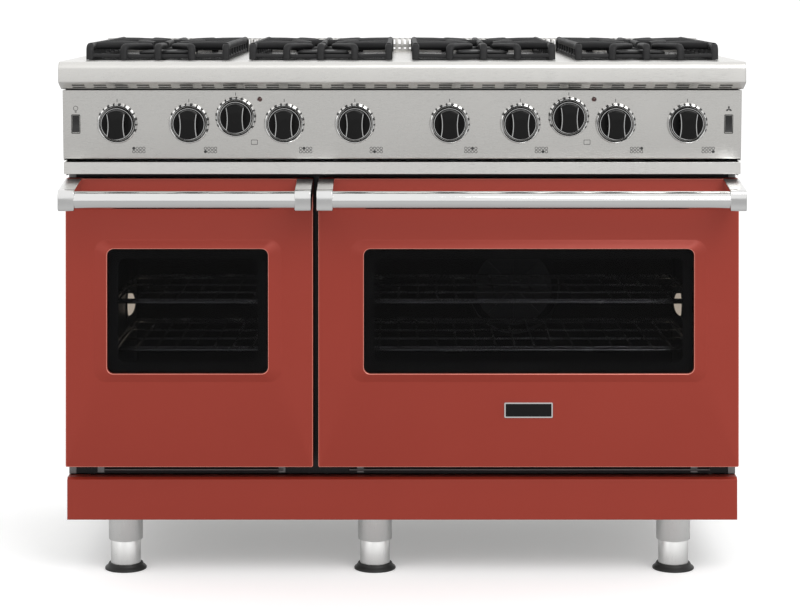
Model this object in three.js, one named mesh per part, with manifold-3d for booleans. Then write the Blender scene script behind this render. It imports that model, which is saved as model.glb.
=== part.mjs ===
// Freestanding gas range with eight burners and two ovens side by side, on five levelling legs.
// Millimetres, +Z up. The origin is on the floor under the middle of the range, -Y is the front and +X is
// the right-hand side as the cook sees it. Every sheet-metal part is an open shell, as it is when pressed.

import * as THREE from "three";
import { mergeVertices } from "three/addons/utils/BufferGeometryUtils.js";
import Module from "manifold-3d";

const wasm = await Module();
wasm.setup();

// ---- Driving dimensions ----

const overall = { width: 1216, front: -364, back: 364, top: 965 };
const gap = 0.3; // between pieces that rest on each other
const body = { half: 605.5, sheet: 2, bottom: 110, top: 893, back: 361 };
const deck = { top: 934, front: -249.5, sheet: 2.5, wellFloor: 922 };
const nose = { front: -337, bottom: 896.5, radius: 10, sheet: 2.5, bandBack: -301, bandBottom: 884 };
const panel = { middleY: -295.5, middleZ: 820.5, tilt: THREE.MathUtils.degToRad(5), height: 124, sheet: 2 };
const trim = { front: -285, back: -262, bottom: 731.5, top: 753, sheet: 2 };
const kick = { front: -246, back: -219.5, bottom: 103.5, top: 179, sheet: 2 };
const face = { front: -218, back: -215, bottom: 182, top: 727 };
const door = {
  front: -267, back: -237, bottom: 203, top: 722, sheet: 2, innerBack: -222, innerBottom: 226, innerTop: 700,
};
const pane = { bottom: 372, top: 596, radius: 12, proud: 6, border: 20, lap: 9, front: -264.5, back: -259 };
const hinge = { y: -236, z: 216, knuckle: 7, pin: 3, half: 6 };
const cavity = { bottom: 255, top: 665, front: -214.5, back: 270, wall: 2, rib: 4.5 };
const rackHeights = { lower: 403, upper: 491 };
const rack = { front: -180, back: 225, thick: 6, wire: 6, side: 1 };
const grip = { y: -348, z: 690, radius: 16, bracket: 29, blockTop: 708, blockBottom: 672 };
const grate = { pitch: 295, half: 128.5, front: -237, back: 302, bar: 9, postStep: 61.5 };
const foot = {
  left: -507, middle: -50, right: 497, frontY: -180, rearY: 300, flange: 38, tube: 27.5, sleeve: 31, sleeveBottom: 55,
};

// The two ovens: the span of the door, of the window, and of the space inside.
const ovens = {
  small: { doorLeft: -605.5, doorRight: -160.5, paneLeft: -530, paneRight: -241, left: -538, right: -228, hingeInset: 58 },
  large: { doorLeft: -151, doorRight: 605.5, paneLeft: -69, paneRight: 524, left: -93, right: 547, hingeInset: 75 },
};

// ---- Finishes ----

function finish(color, roughness, metalness) {
  return new THREE.MeshStandardMaterial({ color, roughness, metalness });
}
const stainless = finish(0xb9b8b4, 0.34, 1);
const chrome = finish(0xe6e6e6, 0.08, 1);
const redEnamel = finish(0x9c4036, 0.35, 0);
const blackEnamel = finish(0x151517, 0.25, 0);
const castIron = finish(0x3a3b3d, 0.6, 0.2);
const blackPlastic = finish(0x101011, 0.2, 0);
const smokedGlass = finish(0x17181a, 0.05, 0);
const rackWire = finish(0xa9a9a6, 0.3, 1);
const zincSheet = finish(0x9b9d9e, 0.5, 1);
const brass = finish(0xb08d4a, 0.35, 1);

// ---- Solids ----

const range = new THREE.Group();

// A three.js geometry as a manifold solid.
function solid(geometry) {
  const bare = new THREE.BufferGeometry().setAttribute("position", geometry.getAttribute("position").clone());
  if (geometry.index) bare.setIndex(geometry.index);
  const merged = mergeVertices(bare.index ? bare.toNonIndexed() : bare, 1e-4);
  const mesh = { numProp: 3, vertProperties: merged.attributes.position.array, triVerts: new Uint32Array(merged.index.array) };
  return new wasm.Manifold(new wasm.Mesh(mesh));
}

// A manifold solid as a named mesh in a group.
function piece(name, made, material, group = range) {
  const { vertProperties, triVerts } = made.getMesh();
  const geometry = new THREE.BufferGeometry();
  geometry.setAttribute("position", new THREE.BufferAttribute(new Float32Array(vertProperties), 3));
  geometry.setIndex(new THREE.BufferAttribute(new Uint32Array(triVerts), 1));
  geometry.computeVertexNormals();
  const mesh = new THREE.Mesh(geometry, material);
  mesh.name = name;
  group.add(mesh);
  return mesh;
}

function block(x0, x1, y0, y1, z0, z1) {
  const geometry = new THREE.BoxGeometry(x1 - x0, y1 - y0, z1 - z0);
  return solid(geometry.translate((x0 + x1) / 2, (y0 + y1) / 2, (z0 + z1) / 2));
}

function union(solids) {
  return solids.reduce((sum, next) => sum.add(next));
}

// A flat outline pushed along an axis: drawn in (Y, Z) for along "x", in (X, Z) for "y", in (X, Y) for "z".
function prism(along, shape, from, to, bevel = {}) {
  const options = { depth: to - from, bevelEnabled: false, steps: 1, curveSegments: 4, ...bevel };
  const geometry = new THREE.ExtrudeGeometry(shape, options);
  const basis = new THREE.Matrix4();
  const [X, Y, Z] = [new THREE.Vector3(1, 0, 0), new THREE.Vector3(0, 1, 0), new THREE.Vector3(0, 0, 1)];
  if (along === "x") basis.makeBasis(Y, Z, X).setPosition(from, 0, 0);
  if (along === "y") basis.makeBasis(X, Z, Y.clone().negate()).setPosition(0, to, 0);
  if (along === "z") basis.setPosition(0, 0, from);
  return solid(geometry.applyMatrix4(basis));
}

function polygon(points) {
  return new THREE.Shape(points.map(([a, b]) => new THREE.Vector2(a, b)));
}

function roundedRectangle(a0, a1, b0, b1, radius) {
  const shape = new THREE.Shape();
  shape.moveTo(a0 + radius, b0);
  shape.lineTo(a1 - radius, b0).absarc(a1 - radius, b0 + radius, radius, -Math.PI / 2, 0);
  shape.lineTo(a1, b1 - radius).absarc(a1 - radius, b1 - radius, radius, 0, Math.PI / 2);
  shape.lineTo(a0 + radius, b1).absarc(a0 + radius, b1 - radius, radius, Math.PI / 2, Math.PI);
  shape.lineTo(a0, b0 + radius).absarc(a0 + radius, b0 + radius, radius, Math.PI, 1.5 * Math.PI);
  return shape;
}

// A cylinder between two heights along an axis, centred at (a, b) in the other two axes, in X, Y, Z order.
function rod(along, radius, a, b, from, to, sides = 16) {
  const geometry = new THREE.CylinderGeometry(radius, radius, to - from, sides);
  const middle = (from + to) / 2;
  if (along === "x") geometry.rotateZ(-Math.PI / 2).translate(middle, a, b);
  if (along === "y") geometry.translate(a, middle, b);
  if (along === "z") geometry.rotateX(Math.PI / 2).translate(a, b, middle);
  return solid(geometry);
}

// A profile of [radius, height] points turned about the Z axis, starting and ending on the axis.
function turned(profile, x, y, sides = 16) {
  const points = profile.map(([r, h]) => new THREE.Vector2(r, h));
  return solid(new THREE.LatheGeometry(points, sides).rotateX(Math.PI / 2).translate(x, y, 0));
}

// ---- Carcass ----

function sidePanel(name, side) {
  const outline = polygon([
    [face.front - 1, body.bottom], [body.back, body.bottom], [body.back, body.top],
    [nose.bandBack + 3.2, body.top - 11], [panel.middleY + 9, trim.top + 3], [trim.back + 4, trim.top + 3],
    [trim.back + 4, face.top], [face.front - 1, face.top],
  ]);
  const inner = side * (body.half - body.sheet);
  const outer = side * body.half;
  piece(name, prism("x", outline, Math.min(inner, outer), Math.max(inner, outer)), stainless);
}

function backPanel() {
  const sheet = block(-body.half, body.half, body.back + gap, body.back + gap + body.sheet, body.bottom, body.top);
  const inletHole = rod("y", 14, supply.x, supply.z, body.back - 1, body.back + 4);
  piece("back_panel", sheet.subtract(inletHole), zincSheet);
}

const feet = [
  ["front_left", foot.left, foot.frontY], ["front_middle", foot.middle, foot.frontY],
  ["front_right", foot.right, foot.frontY], ["rear_left", foot.left, foot.rearY], ["rear_right", foot.right, foot.rearY],
];

function basePan() {
  const half = body.half - body.sheet - gap;
  const sheetTop = body.bottom + body.sheet;
  const sleeveTop = 132;
  const bore = foot.tube + 0.8;
  const sheet = block(-half, half, face.front, body.back - gap, body.bottom, sheetTop);
  const sleeves = feet.map(([, x, y]) => rod("z", foot.sleeve, x, y, foot.sleeveBottom, sleeveTop, 12));
  const bores = feet.map(([, x, y]) => rod("z", bore, x, y, foot.sleeveBottom - 1, sleeveTop - body.sheet, 12));
  piece("base_pan", union([sheet, ...sleeves]).subtract(union(bores)), stainless);
}

function levellingFoot([place, x, y]) {
  const top = 84;
  const profile = [
    [0, 0], [foot.flange, 0], [foot.flange, 4.5], [foot.tube + 3.5, 12], [foot.tube, 12], [foot.tube, top], [0, top],
  ];
  piece(`foot_${place}`, turned(profile, x, y, 12), blackPlastic);
}

function frontFrame() {
  const half = body.half - body.sheet - gap;
  const sheet = block(-half, half, face.front, face.back, face.bottom, face.top);
  const mouths = Object.values(ovens).map((oven) =>
    block(oven.left, oven.right, face.front - 1, face.back + 1, cavity.bottom, cavity.top));
  piece("front_frame", sheet.subtract(union(mouths)), blackEnamel);
}

function kickPanel() {
  const outside = block(-body.half, body.half, kick.front, kick.back, kick.bottom, kick.top);
  const inside = block(
    kick.sheet - body.half, body.half - kick.sheet, kick.front + kick.sheet, kick.back + 1,
    kick.bottom - 1, kick.top - kick.sheet,
  );
  piece("kick_panel", outside.subtract(inside), redEnamel);
}

function ventTrim() {
  const outside = block(-body.half, body.half, trim.front, trim.back, trim.bottom, trim.top);
  const inside = block(
    trim.sheet - body.half, body.half - trim.sheet, trim.front + trim.sheet, trim.back + 1,
    trim.bottom + trim.sheet, trim.top - trim.sheet,
  );
  piece("vent_trim", outside.subtract(inside), stainless);
}

// ---- Cooktop ----

const grateCentres = [-1.5, -0.5, 0.5, 1.5].map((step) => step * grate.pitch);
const grateStepY = (grate.back - grate.front) / 8;
const burnerRows = { front: grate.front + 2 * grateStepY, rear: grate.back - 2 * grateStepY };

function mainTop() {
  const half = overall.width / 2;
  const bottom = body.top + gap;
  const wellWall = 6;
  let made = block(-half, half, deck.front, overall.back, bottom, deck.top);
  made = made.subtract(block(
    deck.sheet - half, half - deck.sheet, deck.front - 1, overall.back - deck.sheet, bottom - 1, deck.top - deck.sheet,
  ));
  for (const x of grateCentres) {
    const [x0, x1] = [x - grate.half + 10, x + grate.half - 10];
    const [y0, y1] = [grate.front + 10, grate.back - 10];
    const tray = block(
      x0 - wellWall, x1 + wellWall, y0 - wellWall, y1 + wellWall, deck.wellFloor - deck.sheet, deck.top - 1,
    );
    made = made.add(tray).subtract(block(x0, x1, y0, y1, deck.wellFloor, deck.top + 1));
  }
  piece("main_top", made, stainless);
}

// The rounded front edge, its slotted underside and its closed ends.
function landingLedge() {
  const half = overall.width / 2;
  const back = deck.front - gap;
  const outline = new THREE.Shape();
  outline.moveTo(back, deck.top);
  outline.lineTo(nose.front + nose.radius, deck.top);
  outline.absarc(nose.front + nose.radius, deck.top - nose.radius, nose.radius, Math.PI / 2, Math.PI);
  outline.lineTo(nose.front, nose.bottom);
  outline.lineTo(nose.bandBack, nose.bandBottom);
  outline.lineTo(back, nose.bandBottom + 10);
  const inset = nose.sheet;
  const hollow = polygon([
    [back + 1, deck.top - inset], [nose.front + 5, deck.top - inset], [nose.front + inset, deck.top - 7],
    [nose.front + inset, nose.bottom + inset], [nose.bandBack - 0.5, nose.bandBottom + inset], [back + 1, nose.bandBottom + 12],
  ]);
  const slot = { count: 31, pitch: 38.3, length: 22.6, width: 3, y: -320 };
  const slots = [];
  for (let i = 0; i < slot.count; i++) {
    const x = (i - (slot.count - 1) / 2) * slot.pitch;
    const [x0, x1] = [x - slot.length / 2, x + slot.length / 2];
    slots.push(block(x0, x1, slot.y, slot.y + slot.width, nose.bandBottom - 5, nose.bottom + 4));
  }
  const shell = prism("x", outline, -half, half).subtract(prism("x", hollow, inset - half, half - inset));
  piece("landing_ledge", shell.subtract(union(slots)), stainless);
}

// The slotted flue cover along the back of the cooktop.
function islandTrim() {
  const cover = { half: 601, front: 312, wall: 2, bottom: deck.top + gap, top: 961 };
  const slot = { count: 26, pitch: 45, width: 20, depth: 13.5 };
  const outside = block(-cover.half, cover.half, cover.front, overall.back, cover.bottom, cover.top);
  const inside = block(
    cover.wall - cover.half, cover.half - cover.wall, cover.front + cover.wall, overall.back - cover.wall,
    cover.bottom - 1, cover.top - cover.wall,
  );
  const slots = [];
  for (let i = 0; i < slot.count; i++) {
    const x = (i - (slot.count - 1) / 2) * slot.pitch;
    slots.push(block(
      x - slot.width / 2, x + slot.width / 2, cover.front - 1, overall.back + 1, cover.top - slot.depth, cover.top + 1,
    ));
  }
  piece("island_trim", outside.subtract(inside).subtract(union(slots)), stainless);
}

// Burner base, flame ring and cap, standing in its well.
function burner(name, x, y) {
  const floor = deck.wellFloor + gap;
  const profile = [
    [0, floor], [46, floor], [44, 931], [37, 934], [37, 939.5], [48, 941], [48, 945.5], [42, 949], [0, 949],
  ];
  piece(name, turned(profile, x, y, 12), blackEnamel);
}

// One cast grate: a low frame, posts all round, and fingers that reach in over the two burners.
function castGrate(name, x) {
  const bottom = deck.top + gap;
  const [low, fingerBottom, top] = [bottom + 8.7, 953, overall.top];
  const [left, right] = [x - grate.half, x + grate.half];
  const bar = grate.bar;
  const frame = block(left, right, grate.front, grate.back, bottom, low).subtract(
    block(left + bar, right - bar, grate.front + bar, grate.back - bar, bottom - 1, low + 1));
  const middle = (grate.front + grate.back) / 2;
  const parts = [frame, block(left, right, middle - bar / 2, middle + bar / 2, fingerBottom, top)];
  for (const x0 of [left, right - bar]) parts.push(block(x0, x0 + bar, grate.front, grate.back, fingerBottom, top));
  const post = (px, py) => block(px - bar / 2, px + bar / 2, py - bar / 2, py + bar / 2, bottom + 1, top);
  for (let i = -2; i <= 2; i++) {
    const px = x + (i / 2) * (grate.half - bar / 2);
    parts.push(post(px, grate.front + bar / 2), post(px, grate.back - bar / 2));
  }
  for (let j = 1; j < 8; j++) {
    const py = grate.front + j * grateStepY;
    parts.push(post(left + bar / 2, py), post(right - bar / 2, py));
  }
  const finger = (ax, ay, cx, cy, stop) => {
    const run = Math.hypot(cx - ax, cy - ay) - stop;
    const geometry = new THREE.BoxGeometry(run, bar - 1, top - fingerBottom).translate(run / 2, 0, 0);
    geometry.rotateZ(Math.atan2(cy - ay, cx - ax)).translate(ax, ay, (top + fingerBottom) / 2);
    return solid(geometry);
  };
  for (const cy of Object.values(burnerRows)) {
    const edge = cy < middle ? grate.front + bar / 2 : grate.back - bar / 2;
    for (const i of [-1, 0, 1]) {
      const px = x + (i / 2) * (grate.half - bar / 2);
      const stop = i === 0 ? 22 : 52;
      parts.push(finger(px, edge, x, cy, stop), finger(px, middle, x, cy, stop));
      parts.push(finger(left + bar / 2, cy + i * grateStepY, x, cy, stop));
      parts.push(finger(right - bar / 2, cy + i * grateStepY, x, cy, stop));
    }
  }
  piece(name, union(parts), castIron);
}

// ---- Control panel ----

const controls = new THREE.Group();
controls.position.set(0, panel.middleY, panel.middleZ);
controls.rotation.x = panel.tilt;
controls.updateMatrix();
range.add(controls);

// Knob places on the panel: X, and height above the panel's middle. Burner knobs and oven knobs differ in height.
const knobRow = 2.5;
const ovenKnobRow = 14;
const knobs = [
  ["knob_burner_1", -508.5, knobRow], ["knob_burner_2", -380.5, knobRow], ["knob_small_oven", -297, ovenKnobRow],
  ["knob_burner_3", -210.5, knobRow], ["knob_burner_4", -84.5, knobRow], ["knob_burner_5", 84.5, knobRow],
  ["knob_burner_6", 210.5, knobRow], ["knob_large_oven", 297, ovenKnobRow], ["knob_burner_7", 380.5, knobRow],
  ["knob_burner_8", 508.5, knobRow],
];
const rocker = { x: 582.5, z: 1.2, halfWidth: 6.4, halfHeight: 15.2, pivotY: 4 };
const stem = { radius: 3.6, tip: -16, hole: 6 };
const supply = { x: 575, z: 826.3, pipe: 10.5, pipeY: 38 };

function controlPanel() {
  const half = body.half;
  const rise = panel.height / 2;
  let made = block(-half, half, 0, panel.sheet, -rise, rise);
  const flange = half - body.sheet - gap;
  made = made.add(block(-flange, flange, 0, 18, -rise, panel.sheet - rise));
  for (const [, x, z] of knobs) {
    const bezel = { outer: 36.5, inner: 31.5, height: 7 };
    const ring = rod("y", bezel.outer, x, z, -bezel.height, 1).subtract(
      rod("y", bezel.inner, x, z, -bezel.height - 1, 2));
    made = made.add(ring).subtract(rod("y", stem.hole, x, z, -2, panel.sheet + 1, 6));
  }
  for (const side of [-1, 1]) {
    const x = side * rocker.x;
    made = made.subtract(block(x - 7, x + 7, -2, panel.sheet + 1, rocker.z - 16.4, rocker.z + 16.4));
  }
  piece("control_panel", made, stainless, controls);
}

// A skirted knob with a raised hourglass grip, hollow underneath for the stem.
function knob(name, x, z) {
  const [skirt, base, tip, grip] = [30.5, -10, -28, 26];
  const waist = 12.5;
  const end = { half: 14.5, reach: Math.sqrt(grip ** 2 - 14.5 ** 2) };
  const shape = new THREE.Shape();
  const spread = Math.atan2(end.half, end.reach);
  shape.moveTo(end.half, -end.reach);
  shape.quadraticCurveTo(2 * waist - end.half, 0, end.half, end.reach);
  shape.absarc(0, 0, grip, Math.PI / 2 - spread, Math.PI / 2 + spread);
  shape.quadraticCurveTo(end.half - 2 * waist, 0, -end.half, -end.reach);
  shape.absarc(0, 0, grip, 1.5 * Math.PI - spread, 1.5 * Math.PI + spread);
  const bar = prism("y", shape, tip, base + 1);
  const disc = rod("y", skirt, 0, 0, base, -1.2);
  const bore = rod("y", stem.radius + 1, 0, 0, stem.tip - 1.5, 0, 6);
  const mesh = piece(name, disc.add(bar).subtract(bore), blackPlastic, controls);
  mesh.position.set(x, 0, z);
}

function rockerSwitch(name, side) {
  const rest = THREE.MathUtils.degToRad(-6);
  const outline = polygon([
    [-7, rocker.halfHeight], [-5.4, 0], [-7, -rocker.halfHeight], [5, -rocker.halfHeight], [5, rocker.halfHeight],
  ]);
  const made = prism("x", outline, -rocker.halfWidth, rocker.halfWidth);
  const mesh = piece(name, made, blackPlastic, controls);
  mesh.position.set(side * rocker.x, rocker.pivotY, rocker.z);
  mesh.rotation.x = rest;
}

// The gas pipe behind the panel with a valve and stem for every knob, and the supply run to the back.
function gasManifold() {
  const pipe = rod("x", supply.pipe, supply.pipeY, knobRow, -530, supply.x, 6);
  const parts = [pipe];
  for (const [, x, z] of knobs) {
    parts.push(block(x - 12, x + 12, 14, supply.pipeY, z - 13, z + 13));
    parts.push(rod("y", stem.radius, x, z, stem.tip, 20, 6));
  }
  const toWorld = controls.matrix.toArray();
  const valves = union(parts).transform(toWorld);
  const run = rod("y", supply.pipe, supply.x, supply.z, -262, overall.back, 6);
  piece("gas_manifold", valves.add(run), brass);
}

// ---- Ovens ----

// An enamelled box, open at the front, with shallow pressed ribs that carry the racks.
function ovenLiner(name, oven, extra) {
  const { wall, rib } = cavity;
  let made = block(
    oven.left - wall, oven.right + wall, cavity.front, cavity.back + wall, cavity.bottom - wall, cavity.top + wall,
  );
  made = made.subtract(block(
    oven.left, oven.right, cavity.front - 1, cavity.back, cavity.bottom, cavity.top,
  ));
  for (const height of Object.values(rackHeights)) {
    const [low, high] = [height - rack.thick - gap - 6, height - rack.thick - gap];
    made = made.add(block(oven.left - 1, oven.left + rib, cavity.front + 10, cavity.back - 20, low, high));
    made = made.add(block(oven.right - rib, oven.right + 1, cavity.front + 10, cavity.back - 20, low, high));
  }
  piece(name, extra ? extra(made) : made, blackEnamel);
}

// The fan sits in a round cup behind the back wall of the large oven.
const fan = { x: 227, z: 455, cup: 92, cupDepth: 42, radius: 78, hub: 14, shaft: 5, front: 278, back: 302 };

function addFanCup(liner) {
  const back = cavity.back + fan.cupDepth;
  const outside = rod("y", fan.cup + cavity.wall, fan.x, fan.z, cavity.back, back, 20);
  const inside = rod("y", fan.cup, fan.x, fan.z, cavity.back - 5, back - cavity.wall, 20);
  const shaft = rod("y", fan.shaft, fan.x, fan.z, fan.front + 2, back - 1, 8);
  return liner.add(outside).subtract(inside).add(shaft);
}

function convectionFan() {
  const { hub, radius, front, back } = fan;
  const reach = radius - 6;
  const parts = [rod("y", hub, fan.x, fan.z, front, back, 12), rod("y", radius, fan.x, fan.z, back - 3, back, 20)];
  for (let i = 0; i < 8; i++) {
    const blade = new THREE.BoxGeometry(reach - hub / 2, back - front - 2, 2);
    blade.translate((reach + hub / 2) / 2, (front + back) / 2, 0);
    blade.rotateY((i * Math.PI) / 4).translate(fan.x, 0, fan.z);
    parts.push(solid(blade));
  }
  const bore = rod("y", fan.shaft + 1, fan.x, fan.z, front + 1, back + 1, 8);
  piece("convection_fan", union(parts).subtract(bore), zincSheet);
}

// A flat wire rack: long bars from front to back inside a frame, with cross bars.
function ovenRack(name, oven, height, bars) {
  const [left, right] = [oven.left + rack.side, oven.right - rack.side];
  const [bottom, top] = [height - rack.thick, height];
  const pitch = (right - left - rack.wire) / bars;
  const rowEdges = [rack.front + rack.wire, (rack.front + rack.back) / 2, rack.back];
  const spaces = [];
  for (let i = 0; i < bars; i++) {
    const x0 = left + rack.wire + i * pitch;
    for (let j = 0; j < 2; j++) {
      spaces.push(block(x0, x0 + pitch - rack.wire, rowEdges[j], rowEdges[j + 1] - rack.wire, bottom - 1, top + 1));
    }
  }
  piece(name, block(left, right, rack.front, rack.back, bottom, top).subtract(union(spaces)), rackWire);
}

// ---- Doors ----

function hingeXs(oven) {
  return [oven.doorLeft + oven.hingeInset, oven.doorRight - oven.hingeInset];
}

function doorPanel(name, oven) {
  const { sheet } = door;
  let made = block(oven.doorLeft, oven.doorRight, door.front, door.back, door.bottom, door.top);
  made = made.subtract(block(
    oven.doorLeft + sheet, oven.doorRight - sheet, door.front + sheet, door.back + 1, door.bottom + sheet, door.top - sheet,
  ));
  const border = roundedRectangle(oven.paneLeft, oven.paneRight, pane.bottom, pane.top, pane.radius);
  const bevel = { bevelEnabled: true, bevelThickness: pane.proud, bevelSize: pane.border, bevelSegments: 1 };
  const raised = prism("y", border, door.front + 1, door.front + 1.5, bevel);
  const frontOnly = block(oven.doorLeft, oven.doorRight, -300, door.front + 1.2, door.bottom, door.top);
  made = made.add(raised.intersect(frontOnly));
  const opening = roundedRectangle(oven.paneLeft, oven.paneRight, pane.bottom, pane.top, pane.radius);
  made = made.subtract(prism("y", opening, -300, door.front + sheet + 1));
  for (const x of hingeXs(oven)) {
    made = made.subtract(block(x - 8, x + 8, door.front + sheet + 3, door.back + 1, door.bottom - 1, door.bottom + sheet + 1));
  }
  piece(name, made, redEnamel);
}

function doorGlass(name, oven) {
  const { lap } = pane;
  const outline = roundedRectangle(
    oven.paneLeft - lap, oven.paneRight + lap, pane.bottom - lap, pane.top + lap, pane.radius,
  );
  piece(name, prism("y", outline, pane.front, pane.back), smokedGlass);
}

// The oven-side pan of the door, with ears that turn on the hinge pins.
function doorInner(name, oven) {
  const { sheet } = door;
  const [left, right] = [oven.left - 22, oven.right + 22];
  const front = door.back + gap;
  let made = block(left, right, front, door.innerBack, door.innerBottom, door.innerTop);
  made = made.subtract(block(
    left + sheet, right - sheet, front - 1, door.innerBack - sheet, door.innerBottom + sheet, door.innerTop - sheet,
  ));
  const view = roundedRectangle(oven.paneLeft + 8, oven.paneRight - 8, pane.bottom + 8, pane.top - 8, pane.radius);
  made = made.subtract(prism("y", view, door.innerBack - 5, door.innerBack + 1));
  for (const x of hingeXs(oven)) {
    for (const side of [-1, 1]) {
      const [x0, x1] = side < 0 ? [x - 10.5, x - 6.8] : [x + 6.8, x + 10.5];
      const ear = block(x0, x1, hinge.y - 6, hinge.y + 6, hinge.z - 7, door.innerBottom + 1);
      made = made.add(ear).subtract(rod("x", hinge.pin + 0.6, hinge.y, hinge.z, x0 - 1, x1 + 1, 8));
    }
  }
  piece(name, made, blackEnamel);
}

function doorHinge(name, x) {
  const { y, z, half } = hinge;
  const knuckle = rod("x", hinge.knuckle, y, z, x - half, x + half, 12);
  const arm = block(x - half, x + half, y, face.front - gap, z - 5, z + 5);
  const base = block(x - half, x + half, face.front - 2.5, face.front - gap, face.bottom + 2, z + 8);
  const pin = rod("x", hinge.pin, y, z, x - half - 5, x + half + 5, 8);
  piece(name, union([knuckle, arm, base, pin]), zincSheet);
}

// A round bar between two cast brackets that slope down from the top of the door.
function doorHandle(name, oven) {
  const start = door.front - gap;
  const { blockTop, blockBottom } = grip;
  const outline = new THREE.Shape();
  outline.moveTo(start, door.top);
  outline.lineTo(overall.front + 14, blockTop + 1);
  outline.quadraticCurveTo(overall.front, blockTop, overall.front, blockTop - 6);
  outline.lineTo(overall.front, blockBottom + 4);
  outline.quadraticCurveTo(overall.front, blockBottom, overall.front + 5, blockBottom);
  outline.lineTo(overall.front + 24, blockBottom);
  outline.quadraticCurveTo(start - 38, blockBottom + 4, start - 30, blockBottom + 14);
  outline.quadraticCurveTo(start - 20, blockBottom + 21, start, blockBottom + 21);
  const bracket = (x0) => prism("x", outline, x0, x0 + grip.bracket);
  const [left, right] = [oven.doorLeft, oven.doorRight - grip.bracket];
  const bar = rod("x", grip.radius, grip.y, grip.z, left + 5, right + grip.bracket - 5);
  piece(name, union([bracket(left), bracket(right), bar]), chrome);
}

// ---- Assembly ----

sidePanel("left_side_panel", -1);
sidePanel("right_side_panel", 1);
backPanel();
basePan();
feet.forEach(levellingFoot);
frontFrame();
kickPanel();
ventTrim();

mainTop();
landingLedge();
islandTrim();
grateCentres.forEach((x, i) => {
  burner(`burner_front_${i + 1}`, x, burnerRows.front);
  burner(`burner_rear_${i + 1}`, x, burnerRows.rear);
  castGrate(`grate_${i + 1}`, x);
});

controlPanel();
knobs.forEach(([name, x, z]) => knob(name, x, z));
rockerSwitch("switch_light", -1);
rockerSwitch("switch_fan", 1);
gasManifold();

ovenLiner("small_oven_liner", ovens.small);
ovenLiner("large_oven_liner", ovens.large, addFanCup);
convectionFan();
ovenRack("small_rack_upper", ovens.small, rackHeights.upper, 5);
ovenRack("small_rack_lower", ovens.small, rackHeights.lower, 5);
ovenRack("large_rack_upper", ovens.large, rackHeights.upper, 10);
ovenRack("large_rack_lower", ovens.large, rackHeights.lower, 10);

for (const [size, oven] of Object.entries(ovens)) {
  doorPanel(`${size}_door_panel`, oven);
  doorGlass(`${size}_door_glass`, oven);
  doorInner(`${size}_door_inner`, oven);
  doorHandle(`${size}_door_handle`, oven);
  const [leftHinge, rightHinge] = hingeXs(oven);
  doorHinge(`${size}_door_hinge_left`, leftHinge);
  doorHinge(`${size}_door_hinge_right`, rightHinge);
}

export default range;
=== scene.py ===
import math

import bmesh
import bpy
import numpy as np
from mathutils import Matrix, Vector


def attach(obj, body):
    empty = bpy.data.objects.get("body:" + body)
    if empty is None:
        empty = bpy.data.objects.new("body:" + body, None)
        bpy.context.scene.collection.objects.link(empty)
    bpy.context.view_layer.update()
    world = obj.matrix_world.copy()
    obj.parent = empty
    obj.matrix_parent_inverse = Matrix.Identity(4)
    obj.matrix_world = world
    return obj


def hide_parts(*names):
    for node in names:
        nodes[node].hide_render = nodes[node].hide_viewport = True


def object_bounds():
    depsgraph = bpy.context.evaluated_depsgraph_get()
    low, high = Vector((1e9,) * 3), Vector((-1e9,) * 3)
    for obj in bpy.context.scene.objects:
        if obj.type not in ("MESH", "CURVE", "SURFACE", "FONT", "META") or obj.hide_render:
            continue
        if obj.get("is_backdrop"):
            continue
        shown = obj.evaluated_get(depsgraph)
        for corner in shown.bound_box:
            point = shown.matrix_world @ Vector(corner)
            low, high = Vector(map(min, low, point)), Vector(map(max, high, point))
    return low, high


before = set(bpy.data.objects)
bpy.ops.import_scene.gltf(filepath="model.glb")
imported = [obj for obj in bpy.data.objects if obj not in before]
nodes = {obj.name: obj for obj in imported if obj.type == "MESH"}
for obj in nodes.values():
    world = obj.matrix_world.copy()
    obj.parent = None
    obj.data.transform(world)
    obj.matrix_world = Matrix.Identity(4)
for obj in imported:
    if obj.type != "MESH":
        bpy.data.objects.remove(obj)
cadBox = [list(corner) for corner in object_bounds()]

# Pieces are drawn in millimetres in the row frame and become metres in addPiece.
millimetre = 0.001


# Quads between neighbouring rings of points, corner k of one ring to corner k of the next, with flat ends.
def loft(rings, loop=False):
    rings = np.asarray(rings, float)
    count, around = rings.shape[:2]
    index = np.arange(count * around).reshape(count, around)
    here, there = (index, np.roll(index, -1, 0)) if loop else (index[:-1], index[1:])
    quads = np.stack([here, np.roll(here, -1, 1), np.roll(there, -1, 1), there], -1)
    faces = quads.reshape(-1, 4).tolist()
    if not loop:
        faces += [index[0, ::-1].tolist(), index[-1].tolist()]
    return rings.reshape(-1, 3), faces


# Point k of a ring of radius r at height h is (r cos a, r sin a, h) with a = 2 pi k / sides.
# ripple(r, h, a) changes the radius; facing "front" turns the axis to -Y.
def turned(profile, x=0, y=0, z=0, sides=48, facing="up", ripple=None, loop=False):
    profile = np.asarray(profile, float)
    angle = np.linspace(0, 2 * np.pi, sides, endpoint=False)[None, :]
    r, h = profile[:, :1], profile[:, 1:]
    r = np.maximum(r, 0.01) * np.ones_like(angle)
    if ripple:
        r = ripple(r, h, angle)
    rings = np.stack([r * np.cos(angle), r * np.sin(angle), h + 0 * angle], -1)
    if facing == "front":
        rings = rings[..., [0, 2, 1]] * [1, -1, 1]
    return loft(rings + [x, y, z], loop)


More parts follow.
